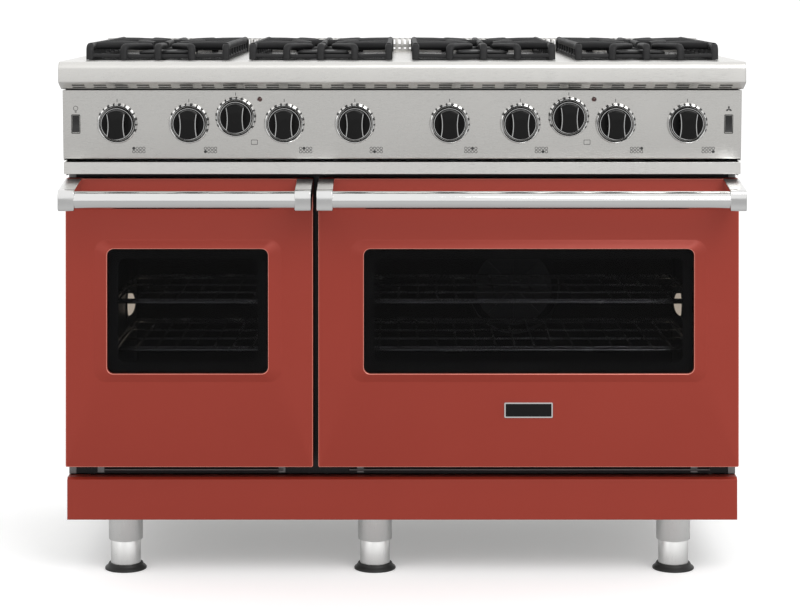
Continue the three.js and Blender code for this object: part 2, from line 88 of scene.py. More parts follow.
# A round-cornered rectangle as 4 (steps + 1) points: quarter circles of the radius about the four inset
# corners.
def roundRect(a0, a1, b0, b1, radius, steps=8):
    quarter = np.linspace(0, np.pi / 2, steps + 1)
    centres = [
        (a1 - radius, b0 + radius), (a1 - radius, b1 - radius), (a0 + radius, b1 - radius),
        (a0 + radius, b0 + radius)
    ]
    arcs = [
        np.stack([ca + radius * np.cos(quarter + turn), cb + radius * np.sin(quarter + turn)], -1)
        for (ca, cb), turn in zip(centres, np.array([-1, 0, 1, 2]) * np.pi / 2)
    ]
    return np.concatenate(arcs)


# An outline lifted into space: its two coordinates go to the two named axes, and the third is a constant.
def place(outline, axes, value):
    outline = np.asarray(outline, float)
    points = np.full((len(outline), 3), float(value))
    points[:, "xyz".index(axes[0])] = outline[:, 0]
    points[:, "xyz".index(axes[1])] = outline[:, 1]
    return points


# The outline pushed from one constant to another.
def prism(outline, axes, start, end):
    return loft([place(outline, axes, start), place(outline, axes, end)])


# A box between two values on each axis.
def slab(x0, x1, y0, y1, z0, z1):
    return prism([(x0, y0), (x1, y0), (x1, y1), (x0, y1)], "xy", z0, z1)


# A section swept along a path. At each point the section's first axis is level and square to the path, and
# its second axis is square to both; inner points use the mean direction of their two neighbours.
def sweep(path, section, closed=False, up=(0, 0, 1)):
    path, section = np.asarray(path, float), np.asarray(section, float)
    if closed:
        ahead, behind = np.roll(path, -1, 0) - path, path - np.roll(path, 1, 0)
    else:
        steps = np.diff(path, axis=0)
        ahead, behind = np.vstack([steps, steps[-1:]]), np.vstack([steps[:1], steps])
    unit = lambda v: v / np.linalg.norm(v, axis=-1, keepdims=True)
    ahead, behind = unit(ahead), unit(behind)
    along = unit(ahead + behind)
    side = unit(np.cross(along, np.broadcast_to(up, path.shape)))
    normal = np.cross(side, along)
    stretch = 1 / np.clip(np.sum(along * ahead, -1), 0.5, 1)
    rings = (
        path[:, None]
        + section[None, :, :1] * side[:, None]
        + section[None, :, 1:] * normal[:, None] * stretch[:, None, None]
    )
    return loft(rings, closed)


# Point k is (radius cos a, radius sin a) with a = 2 pi k / sides.
def circle(radius, sides=10):
    angle = np.linspace(0, 2 * np.pi, sides, endpoint=False)
    return np.stack([radius * np.cos(angle), radius * np.sin(angle)], -1)


# A sheet that follows a profile in (y, z) between the given x lines; cells for which hole(column, row)
# holds are open.
def foldedSheet(profile, xLines, hole):
    profile = np.asarray(profile, float)
    columns, rows = len(xLines) - 1, len(profile) - 1
    points = np.empty((columns + 1, rows + 1, 3))
    points[..., 0] = np.asarray(xLines)[:, None]
    points[..., 1:] = profile[None]
    index = np.arange((columns + 1) * (rows + 1)).reshape(columns + 1, rows + 1)
    cells = np.stack([index[:-1, :-1], index[1:, :-1], index[1:, 1:], index[:-1, 1:]], -1)
    column, row = np.meshgrid(np.arange(columns), np.arange(rows), indexing="ij")
    return points.reshape(-1, 3), cells[~hole(column, row)].tolist()


# The part with a step added to each of its points.
def moved(part, x=0, y=0, z=0):
    return part[0] + [x, y, z], *part[1:]


# The part with the index of its material as third item.
def painted(part, material):
    return part[0], part[1], material


# One object from several parts; a part's third item is the index of its material, or a list with one for
# each face.
def addPiece(
    name, parts, materials, body, replaces=(), bevel=0, segments=2, sharp=35, solid=0, merge=False
):
    points, faces, indices, offset = [], [], [], 0
    for part in parts:
        points.append(part[0])
        faces += [[corner + offset for corner in face] for face in part[1]]
        chosen = part[2] if len(part) > 2 else 0
        indices += chosen if isinstance(chosen, list) else [chosen] * len(part[1])
        offset += len(part[0])
    mesh = bpy.data.meshes.new(name)
    mesh.from_pydata((np.concatenate(points) * millimetre).tolist(), [], faces)
    mesh.polygons.foreach_set("material_index", indices)
    work = bmesh.new()
    work.from_mesh(mesh)
    if merge:
        bmesh.ops.remove_doubles(work, verts=work.verts, dist=1e-6)
    bmesh.ops.recalc_face_normals(work, faces=work.faces)
    work.to_mesh(mesh)
    work.free()
    mesh.polygons.foreach_set("use_smooth", [True] * len(mesh.polygons))
    for material in materials if isinstance(materials, list) else [materials]:
        mesh.materials.append(material)
    mesh.set_sharp_from_angle(angle=math.radians(sharp))
    obj = bpy.data.objects.new(name, mesh)
    bpy.context.scene.collection.objects.link(obj)
    if solid:
        thick = obj.modifiers.new("Thickness", "SOLIDIFY")
        thick.thickness = solid * millimetre
        thick.offset = -1
        # Normals weighted by area keep the sheet's flat faces flat up to its cut edges.
        obj.modifiers.new("Shading", "WEIGHTED_NORMAL").keep_sharp = True
    if bevel:
        edge = obj.modifiers.new("Edges", "BEVEL")
        edge.width = bevel * millimetre
        edge.segments = segments
        edge.limit_method = "ANGLE"
        edge.angle_limit = math.radians(sharp)
        edge.harden_normals = True
    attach(obj, body)
    if replaces:
        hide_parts(*([replaces] if isinstance(replaces, str) else replaces))
    return obj


# Materials.


# Shader group: fine grain stretched along one axis, slow clouds, a mask of wiping smudges, and a bump from
# the grain.
def makeGrainGroup():
    group = bpy.data.node_groups.new("surfaceGrain", "ShaderNodeTree")
    face = group.interface
    for label, kind, value in (
        ("Stretch", "NodeSocketVector", (1, 1, 1)), ("Scale", "NodeSocketFloat", 400.0),
        ("Depth", "NodeSocketFloat", 0.1), ("Cloud Scale", "NodeSocketFloat", 3.0),
    ):
        face.new_socket(label, in_out="INPUT", socket_type=kind).default_value = value
    face.new_socket("Grain", in_out="OUTPUT", socket_type="NodeSocketFloat")
    face.new_socket("Cloud", in_out="OUTPUT", socket_type="NodeSocketFloat")
    face.new_socket("Smudge", in_out="OUTPUT", socket_type="NodeSocketFloat")
    face.new_socket("Normal", in_out="OUTPUT", socket_type="NodeSocketVector")
    add, link = group.nodes.new, group.links.new
    given, result = add("NodeGroupInput"), add("NodeGroupOutput")
    where, stretch = add("ShaderNodeTexCoord"), add("ShaderNodeVectorMath")
    stretch.operation = "MULTIPLY"
    grain, cloud, bump = add("ShaderNodeTexNoise"), add("ShaderNodeTexNoise"), add("ShaderNodeBump")
    grain.inputs["Detail"].default_value = 3.0
    grain.inputs["Roughness"].default_value = 0.65
    cloud.inputs["Detail"].default_value = 4.0
    bump.inputs["Distance"].default_value = 0.0004
    smudge, cut = add("ShaderNodeTexNoise"), add("ShaderNodeMapRange")
    smudge.inputs["Scale"].default_value = 7.0
    smudge.inputs["Distortion"].default_value = 1.4
    cut.inputs["From Min"].default_value = 0.5
    cut.inputs["From Max"].default_value = 0.72
    link(where.outputs["Object"], smudge.inputs["Vector"])
    link(smudge.outputs["Fac"], cut.inputs["Value"])
    link(cut.outputs["Result"], result.inputs["Smudge"])
    link(where.outputs["Object"], stretch.inputs[0])
    link(given.outputs["Stretch"], stretch.inputs[1])
    link(stretch.outputs[0], grain.inputs["Vector"])
    link(given.outputs["Scale"], grain.inputs["Scale"])
    link(where.outputs["Object"], cloud.inputs["Vector"])
    link(given.outputs["Cloud Scale"], cloud.inputs["Scale"])
    link(grain.outputs["Fac"], bump.inputs["Height"])
    link(given.outputs["Depth"], bump.inputs["Strength"])
    link(grain.outputs["Fac"], result.inputs["Grain"])
    link(cloud.outputs["Fac"], result.inputs["Cloud"])
    link(bump.outputs["Normal"], result.inputs["Normal"])
    return group


# Shader group: a value that runs between two limits as the input goes from 0.3 to 0.7.
def makeSpreadGroup():
    group = bpy.data.node_groups.new("spread", "ShaderNodeTree")
    for label, value in (("Value", 0.5), ("Low", 0.0), ("High", 1.0)):
        group.interface.new_socket(label, in_out="INPUT", socket_type="NodeSocketFloat").default_value = value
    group.interface.new_socket("Value", in_out="OUTPUT", socket_type="NodeSocketFloat")
    given, result = group.nodes.new("NodeGroupInput"), group.nodes.new("NodeGroupOutput")
    ramp = group.nodes.new("ShaderNodeMapRange")
    ramp.inputs["From Min"].default_value = 0.3
    ramp.inputs["From Max"].default_value = 0.7
    group.links.new(given.outputs["Value"], ramp.inputs["Value"])
    group.links.new(given.outputs["Low"], ramp.inputs["To Min"])
    group.links.new(given.outputs["High"], ramp.inputs["To Max"])
    group.links.new(ramp.outputs["Result"], result.inputs["Value"])
    return group


grainGroup = makeGrainGroup()
spreadGroup = makeSpreadGroup()


# A Principled material: colour between two tones by the clouds, roughness between two limits by the grain.
def finish(
    name, tones, rough, metallic=0.0, stretch=(1, 1, 1), scale=400.0, depth=0.1, cloudScale=3.0, byGrain=0.0,
    smudge=0.05, **extra
):
    material = bpy.data.materials.new(name)
    material.use_nodes = True
    tree = material.node_tree
    shader = tree.nodes["Principled BSDF"]
    grain = tree.nodes.new("ShaderNodeGroup")
    grain.node_tree = grainGroup
    grain.inputs["Stretch"].default_value = stretch
    grain.inputs["Scale"].default_value = scale
    grain.inputs["Depth"].default_value = depth
    grain.inputs["Cloud Scale"].default_value = cloudScale
    roughness = tree.nodes.new("ShaderNodeGroup")
    roughness.node_tree = spreadGroup
    roughness.inputs["Low"].default_value, roughness.inputs["High"].default_value = rough
    toneFactor = tree.nodes.new("ShaderNodeMix")
    toneFactor.data_type = "FLOAT"
    toneFactor.inputs["Factor"].default_value = byGrain
    tone = tree.nodes.new("ShaderNodeMix")
    tone.data_type = "RGBA"
    tone.inputs[6].default_value = (*tones[0], 1)
    tone.inputs[7].default_value = (*tones[1], 1)
    link = tree.links.new
    link(grain.outputs["Cloud"], toneFactor.inputs[2])
    link(grain.outputs["Grain"], toneFactor.inputs[3])
    link(toneFactor.outputs[0], tone.inputs[0])
    link(tone.outputs[2], shader.inputs["Base Color"])
    link(grain.outputs["Grain"], roughness.inputs["Value"])
    wiped = tree.nodes.new("ShaderNodeMath")
    wiped.operation = "MULTIPLY_ADD"
    wiped.inputs[1].default_value = smudge
    link(grain.outputs["Smudge"], wiped.inputs[0])
    link(roughness.outputs["Value"], wiped.inputs[2])
    link(wiped.outputs[0], shader.inputs["Roughness"])
    link(grain.outputs["Normal"], shader.inputs["Normal"])
    shader.inputs["Metallic"].default_value = metallic
    for socket, value in extra.items():
        shader.inputs[socket.replace("_", " ")].default_value = value
    return material


alongX, alongZ = (0.02, 1, 1), (1, 1, 0.02)
steel = finish(
    "brushedSteel", [(0.645, 0.635, 0.611), (0.735, 0.725, 0.702)], (0.22, 0.40), 1.0, alongX, 2600, 0.06,
    byGrain=0.5
)
steelSide = finish(
    "brushedSteelUpright", [(0.55, 0.54, 0.52), (0.64, 0.63, 0.61)], (0.26, 0.44), 1.0, alongZ, 2200, 0.10,
    byGrain=0.5
)
chrome = finish("chrome", [(0.68, 0.68, 0.675), (0.76, 0.76, 0.755)], (0.05, 0.11), 1.0, scale=60, depth=0.0)
satin = finish(
    "satinSteel", [(0.76, 0.76, 0.75), (0.85, 0.85, 0.84)], (0.26, 0.40), 1.0, alongZ, 1800, 0.05, byGrain=0.5
)
# A dark steel for the hinges and the fan. On the side panels' returns and the drip rails its darkness is
# painted shade for the gap under the doors.
chassisSteelAndGapShade = finish(
    "chassisSteelAndGapShade", [(0.17, 0.17, 0.17), (0.25, 0.25, 0.25)], (0.35, 0.5), 1.0, scale=300, depth=0.05,
    cloudScale=12
)
enamel = finish(
    "redEnamel", [(0.24, 0.0225, 0.0112), (0.305, 0.0325, 0.0165)], (0.30, 0.48), 0.4, alongX, 2400, 0.08,
    cloudScale=2.2, byGrain=0.35, Coat_Weight=0.1, Coat_Roughness=0.2,
)
# A paler red enamel laid on the doors' rounded edges and the lip round the glass as a painted highlight.
edgeHighlightEnamel = finish(
    "paintedEdgeHighlightEnamel", [(0.52, 0.17, 0.13), (0.60, 0.22, 0.17)], (0.2, 0.34), 0.3, scale=900, depth=0.03,
    cloudScale=30
)
blackEnamel = finish(
    "blackEnamel", [(0.008, 0.008, 0.009), (0.016, 0.016, 0.017)], (0.16, 0.32), scale=900, depth=0.05,
    cloudScale=9, Specular_IOR_Level=0.2
)
ovenEnamel = finish(
    "ovenEnamel", [(0.010, 0.010, 0.012), (0.022, 0.022, 0.025)], (0.28, 0.46), scale=1400, depth=0.008,
    cloudScale=14, byGrain=0.3, Specular_IOR_Level=0.35,
)
iron = finish(
    "castIron", [(0.010, 0.010, 0.0105), (0.021, 0.021, 0.022)], (0.42, 0.62), scale=1500, depth=0.5,
    cloudScale=12, byGrain=0.4, Specular_IOR_Level=0.22,
)
capEnamel = finish(
    "burnerEnamel", [(0.012, 0.012, 0.013), (0.022, 0.022, 0.022)], (0.35, 0.55), scale=1800, depth=0.25,
    cloudScale=20, Specular_IOR_Level=0.25
)
burnerMetal = finish(
    "burnerMetal", [(0.030, 0.030, 0.031), (0.055, 0.054, 0.052)], (0.4, 0.6), 0.6, scale=1200, depth=0.2,
    cloudScale=20
)
gloss = finish(
    "glossPlastic", [(0.006, 0.006, 0.006), (0.011, 0.011, 0.011)], (0.08, 0.16), scale=120, depth=0.01,
    smudge=0.02, Specular_IOR_Level=0.07
)
rockerPlastic = finish(
    "rockerPlastic", [(0.010, 0.010, 0.010), (0.018, 0.018, 0.018)], (0.2, 0.3), scale=500, depth=0.05,
    Specular_IOR_Level=0.35
)
# A black with no shine at all: painted shade for the dark space behind the ledge's slots.
paintedSlotShade = finish(
    "paintedSlotShade", [(0.004, 0.004, 0.004), (0.008, 0.008, 0.008)], (0.8, 0.9), scale=900, depth=0.02,
    Specular_IOR_Level=0.0
)
rubber = finish(
    "rubber", [(0.012, 0.012, 0.012), (0.022, 0.022, 0.021)], (0.35, 0.55), scale=1400, depth=0.2,
    Specular_IOR_Level=0.25
)
wire = finish(
    "platedWire", [(0.55, 0.55, 0.54), (0.68, 0.68, 0.67)], (0.14, 0.30), 1.0, scale=700, depth=0.06
)
zinc = finish(
    "zincSheet", [(0.36, 0.37, 0.38), (0.52, 0.53, 0.54)], (0.32, 0.55), 1.0, scale=90, depth=0.05,
    cloudScale=22
)
brass = finish("brass", [(0.50, 0.36, 0.14), (0.62, 0.47, 0.20)], (0.22, 0.42), 1.0, scale=600, depth=0.08)
ink = finish("printInk", [(0.020, 0.020, 0.020), (0.035, 0.035, 0.035)], (0.4, 0.6), scale=900, depth=0.02)
ceramic = finish("ceramic", [(0.62, 0.60, 0.56), (0.74, 0.72, 0.68)], (0.35, 0.5), scale=800, depth=0.1)
glassFibre = finish(
    "glassFibre", [(0.05, 0.05, 0.05), (0.11, 0.11, 0.11)], (0.6, 0.8), scale=1600, depth=0.7, byGrain=0.6
)
lens = finish(
    "signalLens", [(0.030, 0.004, 0.003), (0.060, 0.008, 0.006)], (0.05, 0.12), scale=400, depth=0.05,
    Coat_Weight=0.6
)
glass = finish(
    "tintedGlass", [(0.21, 0.21, 0.22), (0.24, 0.24, 0.25)], (0.01, 0.03), scale=40, depth=0.004, smudge=0.02,
    Transmission_Weight=1.0, IOR=1.16,
)
lampGlass = finish(
    "lampGlass", [(0.8, 0.78, 0.72), (0.9, 0.88, 0.82)], (0.08, 0.16), scale=200, depth=0.05,
    Emission_Color=(1, 0.86, 0.68, 1), Emission_Strength=1.6,
)
paleFloor = finish(
    "paleFloor", [(0.85, 0.85, 0.85), (0.86, 0.86, 0.86)], (0.7, 0.8), scale=30, depth=0.0,
    Emission_Color=(1, 1, 1, 1), Emission_Strength=0.19, Specular_IOR_Level=0.0,
)


# Reflections see the floor darker than the camera does: its colour is mixed towards one grey tone by the
# share of glossy rays, which gives the polished parts their dark lower half.
def darkenInReflections(material, tone):
    tree = material.node_tree
    baseColor = tree.nodes["Principled BSDF"].inputs["Base Color"]
    seen = baseColor.links[0].from_socket
    path, mixed = tree.nodes.new("ShaderNodeLightPath"), tree.nodes.new("ShaderNodeMix")
    mixed.data_type = "RGBA"
    mixed.inputs[7].default_value = (tone, tone, tone, 1)
    tree.links.new(path.outputs["Is Glossy Ray"], mixed.inputs[0])
    tree.links.new(seen, mixed.inputs[6])
    tree.links.new(mixed.outputs[2], baseColor)


darkenInReflections(paleFloor, 0.33)

kept = {
    steelSide: ["left_side_panel", "right_side_panel"],
    zinc: ["back_panel"],
    blackEnamel: ["front_frame"],
    ovenEnamel: ["small_oven_liner", "large_oven_liner", "small_door_inner", "large_door_inner"],
    glass: ["small_door_glass", "large_door_glass"],
    brass: ["gas_manifold"],
    chassisSteelAndGapShade: ["convection_fan"] + [
        f"{size}_door_hinge_{side}" for size in ("small", "large") for side in ("left", "right")
    ],
}
for material, names in kept.items():
    for name in names:
        for materialSlot in nodes[name].material_slots:
            materialSlot.material = material
print("materials made")

# Front edge and cooktop.

ledge = {
    "halfWidth": 608, "top": 934, "front": -337, "back": -249.8, "topRadius": 12, "lipRadius": 3, "slots": 31,
    "slotPitch": 38.3, "slotLength": 22.6
}


# Quarter circles round the top and the lip, then the slotted face that slopes back under the edge.
def makeLedge(v):
    turnTop = np.radians(np.linspace(90, 180, 9))
    turnLip = np.radians(np.linspace(180, 255, 5))
    r, s = v["topRadius"], v["lipRadius"]
    top = np.stack([v["front"] + r + r * np.cos(turnTop), v["top"] - r + r * np.sin(turnTop)], -1)
    lip = np.stack([v["front"] + s + s * np.cos(turnLip), 899.5 + s * np.sin(turnLip)], -1)
    under = np.array([
        (-328, 893.4), (-320.5, 890.8), (-315.5, 889.1), (-308, 886.6), (-301, 884.2), (-298, 886),
        (-290, 890)
    ])
    profile = np.vstack([[v["back"], v["top"]], top, [v["front"], 910], lip, under])
    firstUnder = len(profile) - len(under)
    starts = (np.arange(v["slots"]) - (v["slots"] - 1) / 2) * v["slotPitch"] - v["slotLength"] / 2
    edges = np.stack([starts, starts + v["slotLength"]], -1).ravel()
    xLines = np.concatenate([[-v["halfWidth"] + 1], edges, [v["halfWidth"] - 1]])
    slotRows = [firstUnder, firstUnder + 2]
    sheet = foldedSheet(profile, xLines, lambda column, row: (column % 2 == 1) & np.isin(row, slotRows))
    outline = np.vstack([profile[:-2], [-290, 892], [v["back"], 894]])
    ends = [prism(outline, "yz", x, x + 2) for x in (-v["halfWidth"], v["halfWidth"] - 2)]
    addPiece("landingLedge", [sheet], steel, "range_body", "landing_ledge", solid=0.8, sharp=50)
    addPiece("landingLedgeEnds", ends, steelSide, "range_body", bevel=0.8)
    # A dark sheet just behind the slots: painted shade, so the slots read as dark openings.
    slotShadeSheet = prism(
        [(-326.5, 896.2), (-303, 888.2), (-303, 889.2), (-326.5, 897.2)], "yz", 10 - v["halfWidth"],
        v["halfWidth"] - 10
    )
    addPiece("ledgeSlotShade", [slotShadeSheet], paintedSlotShade, "range_body")


makeLedge(ledge)

cooktop = {
    "halfWidth": 608, "front": -249.5, "back": 364, "top": 934, "pitch": 295, "wellHalf": 118.5,
    "wellFront": -227, "wellBack": 292, "floor": 922.4, "rim": 2, "rimZ": (893.3, 932.4),
    "grateY": (-237, 302)
}
wellX = [step * cooktop["pitch"] for step in (-1.5, -0.5, 0.5, 1.5)]
grateFront, grateBack = cooktop["grateY"]
quarter = (grateBack - grateFront) / 4
burnerY = {"front": grateFront + quarter, "rear": grateBack - quarter}


# The deck is a sheet with four openings, and each pan runs down through six rounded rings to a dished floor.
def makeCooktop(v):
    half = v["halfWidth"]
    xLines = np.unique([-half, half] + [x + side * v["wellHalf"] for x in wellX for side in (-1, 1)])
    profile = [
        (v["front"], v["top"]), (v["wellFront"], v["top"]), (v["wellBack"], v["top"]), (v["back"], v["top"])
    ]
    deck = foldedSheet(profile, xLines, lambda column, row: (column % 2 == 1) & (row == 1))
    rim = [slab(x, x + v["rim"], v["front"], v["back"], *v["rimZ"]) for x in (-half, half - v["rim"])]
    rim.append(slab(-half + v["rim"], half - v["rim"], v["back"] - v["rim"], v["back"], *v["rimZ"]))
    addPiece("cooktopDeck", [deck], steel, "range_body", "main_top", solid=1.6)
    addPiece("cooktopRim", rim, steelSide, "range_body", bevel=0.6)
    levels = [
        (3, 934.9, 9), (0.4, 935.2, 8), (-1.6, 934.0, 8), (-2.6, 931, 8), (-3.4, 925, 8), (-6, 922.8, 7),
        (-10, v["floor"], 6)
    ]
    pans = []
    for x in wellX:
        rings = []
        for grow, z, r in levels:
            reach = v["wellHalf"] + grow
            outline = roundRect(x - reach, x + reach, v["wellFront"] - grow, v["wellBack"] + grow, r)
            rings.append(place(outline, "xy", z))
        lower = [ring - [0, 0, 0.9] for ring in rings[::-1]]
        pans.append(loft(rings + lower))
    addPiece("spillPans", pans, blackEnamel, "range_body", sharp=50)


makeCooktop(cooktop)

burner = {
    "base": 46, "ring": 37, "cap": 48, "top": 949, "ports": 44, "portDepth": 1.6, "portZ": (935.5, 939.5),
    "igniter": 36
}


# The flame ring's radius is cut by portDepth wherever cos(ports a) is above 0.2 between the two port heights.
def makeBurners(v):
    low, high = v["portZ"]
    ports = lambda r, h, a: r - v["portDepth"] * ((h > low) & (h < high)) * (np.cos(v["ports"] * a) > 0.2)
    base = [(0, 922.6), (v["base"], 922.6), (v["base"], 924), (44, 929), (40, 931.5), (38, 932.5), (0, 932.5)]
    ring = [
        (0, 932.4), (v["ring"] + 1, 932.4), (v["ring"] + 1, 935), (v["ring"], 935.6), (v["ring"], 939),
        (v["ring"] + 1, 940), (0, 940)
    ]
    cap = [
        (0, 940), (39, 940), (v["cap"] - 1, 940.8), (v["cap"], 942.2), (v["cap"], 944.8), (46.6, 946.4),
        (42, 948), (30, 948.8), (0, v["top"])
    ]
    igniter = [(0, 923), (3.2, 923), (3.2, 934), (1.4, 935), (1.4, 938.5), (0, 938.8)]
    for spot, y in burnerY.items():
        for number, x in enumerate(wellX, 1):
            parts = [
                painted(turned(base, x, y, sides=64), 1),
                painted(turned(ring, x, y, sides=176, ripple=ports), 1),
                turned(cap, x, y, sides=64),
                painted(turned(igniter, x + v["igniter"], y - v["igniter"], sides=14), 2),
            ]
            name = f"burner_{spot}_{number}"
            addPiece(
                f"visual_{name}", parts, [capEnamel, burnerMetal, ceramic], "range_body", name,
                sharp=40
            )


makeBurners(burner)

grate = {
    "half": 128.5, "front": grateFront, "back": grateBack, "foot": 934.5, "top": 965, "width": 10.5,
    "fingerHeight": 13, "rounding": 4.2, "bend": 9, "near": 22, "far": 54, "runnerZ": 938.3, "blockZ": 946
}


# Bars are swept round-cornered sections. A finger rises from the deck, turns through a quarter circle of
# radius bend and runs level towards its burner, dropping a little at its tip. A straight finger stops near
# and a slanted one far from the burner's middle.
def makeGrates(v):
    half, front, back, top = v["half"], v["front"], v["back"], v["top"]
    w, h, r = v["width"], v["fingerHeight"], v["rounding"]
    bend, near, far = v["bend"], v["near"], v["far"]
    middle, stepY = (front + back) / 2, (back - front) / 8
    section = roundRect(-w / 2, w / 2, -h / 2, h / 2, r, 3)
    low = roundRect(-4, 4, -3.6, 3.6, 2, 2)
    block = roundRect(-4.4, 4.4, -11.4, 11.4, 3, 2)
    level = top - h / 2

    # From start towards target, ending stop before it: first up the quarter circle, then level.
    def finger(start, target, stop):
        start, target = np.array(start, float), np.array(target, float)
        way = target - start
        length = np.hypot(*way)
        way = way / length
        turn = np.radians(np.linspace(180, 90, 6))
        reach = bend + bend * np.cos(turn)
        rise = level - bend + bend * np.sin(turn)
        flat = np.array([0.35, 0.8, 1.0]) * (length - stop)
        run = np.concatenate([[0], reach, flat])
        z = np.concatenate([[v["foot"] + 0.2], rise, [level, level - 0.3, level - 1.5]])
        return sweep(
            np.column_stack([start[0] + way[0] * run, start[1] + way[1] * run, z]), section,
            up=(way[1], -way[0], 0)
        )

    # The bar section along a path.
    def bar(points, outline=section):
        return sweep(points, outline)

    for number, x in enumerate(wellX, 1):
        left, right = x - half + w / 2, x + half - w / 2
        parts = []
        bow = np.linspace(-1, 1, 13)
        for y, out in ((front + 5, 1), (back - 5, -1)):
            sag = 1 - bow**2
            path = np.column_stack([x + bow * (half - 6), y + out * 7 * sag, 942.5 - 2.2 * sag])
            parts.append(bar(path, low))
        for side in (left, right):
            runner = roundRect(-4, 4, -3.8, 3.8, 2, 2)
            parts.append(bar([(side, front + 4, v["runnerZ"]), (side, back - 4, v["runnerZ"])], runner))
            parts.append(bar([(side, front + 12, level), (side, back - 12, level)]))
            for j in range(1, 8):
                y = front + j * stepY
                parts.append(bar([(side, y - 4.6, v["blockZ"]), (side, y + 4.6, v["blockZ"])], block))
        parts.append(bar([(left, middle, level), (right, middle, level)]))
        for i in (-2, -1, 0, 1, 2):
            px = x + i / 2 * (half - w / 2)
            for edge, cy in ((front + w / 2, burnerY["front"]), (back - w / 2, burnerY["rear"])):
                if abs(i) == 2:
                    parts.append(finger((px, edge), (px, cy), abs(cy - edge) - 30))
                else:
                    parts.append(finger((px, edge), (x, cy), near if i == 0 else far))
        for cy in burnerY.values():
            for i in (-1, 0, 1):
                for side in (left, right):
                    stop = near if i == 0 else far
                    way = np.array([x - side, -i * stepY])
                    length = np.hypot(*way)
                    start = np.array([side, cy + i * stepY])
                    tip = start + way * (1 - stop / length)
                    parts.append(bar([(*start, level), (*(start + tip) / 2, level), (*tip, level - 1.5)]))
                if i:
                    start = np.array([x + i / 2 * (half - w / 2), middle])
                    way = np.array([x, cy]) - start
                    tip = start + way * (1 - far / np.hypot(*way))
                else:
                    start = np.array([x, middle])
                    tip = np.array([x, cy + (near if cy < middle else -near)])
                parts.append(bar([(*start, level), (*(start + tip) / 2, level), (*tip, level - 1.5)]))
        name = f"grate_{number}"
        addPiece(f"visual_{name}", parts, iron, name, name, sharp=60)


makeGrates(grate)

fluecover = {
    "half": 601, "front": 312, "back": 364, "foot": 934.4, "top": 961, "slots": 108, "pitch": 11, "slot": 5
}


# The cover is one folded sheet; the comb of slots crosses the top, and a short row is cut low in both faces.
def makeFlueCover(v):
    front, back, foot, top = v["front"], v["back"], v["foot"], v["top"]
    profile = [
        (front, foot), (front, 938.5), (front, 943), (front, 948.5), (front, top - 1.5), (front + 1.5, top),
        (back - 1.5, top), (back, top - 1.5), (back, 948.5), (back, 943), (back, 938.5), (back, foot)
    ]
    starts = (np.arange(v["slots"]) - (v["slots"] - 1) / 2) * v["pitch"] - v["slot"] / 2
    xLines = np.concatenate([[-v["half"]], np.stack([starts, starts + v["slot"]], -1).ravel(), [v["half"]]])
    sheet = foldedSheet(
        profile, xLines, lambda column, row: (column % 2 == 1) & np.isin(row, [1, 3, 5, 7, 9])
    )
    outline = [(front + 0.5, foot), *profile[4:8], (back - 0.5, foot)]
    ends = [prism(outline, "yz", x, x + 1.6) for x in (-v["half"], v["half"] - 1.6)]
    addPiece("flueCover", [sheet, *ends], steelSide, "range_body", "island_trim", solid=1.2)


makeFlueCover(fluecover)
print("cooktop made")

# Control panel.

panel = {"y": -295.5, "z": 820.5, "tilt": 5.0, "half": 605.5, "rise": 62, "thick": 2, "lip": 18}
tilt = np.radians(panel["tilt"])


# Panel coordinates to the row frame: a turn about X by the tilt, then a move to the panel's middle.
def onPanel(part):
    x, y, z = np.asarray(part[0]).T
    depth = panel["y"] + y * np.cos(tilt) - z * np.sin(tilt)
    height = panel["z"] + y * np.sin(tilt) + z * np.cos(tilt)
    return np.stack([x, depth, height], -1), *part[1:]


burnerKnobs = {1: -508.5, 2: -380.5, 3: -210.5, 4: -84.5, 5: 84.5, 6: 210.5, 7: 380.5, 8: 508.5}
ovenKnobs = {"small": -297, "large": 297}
knobRow, ovenRow = 2.5, 14


# A thin raised mark on the panel face from an outline in (x, z).
def mark(outline, height=0.25):
    return prism(outline, "xz", 0.05, -height)


# A flat ring on the panel face between two radii.
def ringMark(x, z, outer, inner, sides=20):
    around = lambda r, y: place(circle(r, sides) + [x, z], "xz", y)
    return loft(
        [around(outer, 0.05), around(outer, -0.2), around(inner, -0.2), around(inner, 0.05)], loop=True
    )


# The sheet is folded under along its lower edge, and a short lip closes each end.
def makePanel(v):
    rise, half, thick = v["rise"], v["half"], v["thick"]
    outline = [
        (0, rise), (0, 3 - rise), (0.9, 0.9 - rise), (3, -rise), (v["lip"], -rise), (v["lip"], thick - rise),
        (3.6, thick - rise), (thick, 3.6 - rise), (thick, rise),
    ]
    parts = [prism(outline, "yz", -half, half)]
    for side in (-1, 1):
        x0, x1 = sorted([side * half, side * (half - 1.6)])
        parts.append(prism([(0.2, rise - 1), (0.2, 4 - rise), (9, 4 - rise), (5, rise - 1)], "yz", x0, x1))
    addPiece(
        "controlPanel", [onPanel(part) for part in parts], steel, "range_body", "control_panel",
        bevel=0.5
    )


bezel = {
    "sides": 96, "burnerArc": (150, -20, 11), "ovenArc": (205, -30, 15), "thin": 0.045, "bold": 0.07,
    "index": (38.5, 44)
}


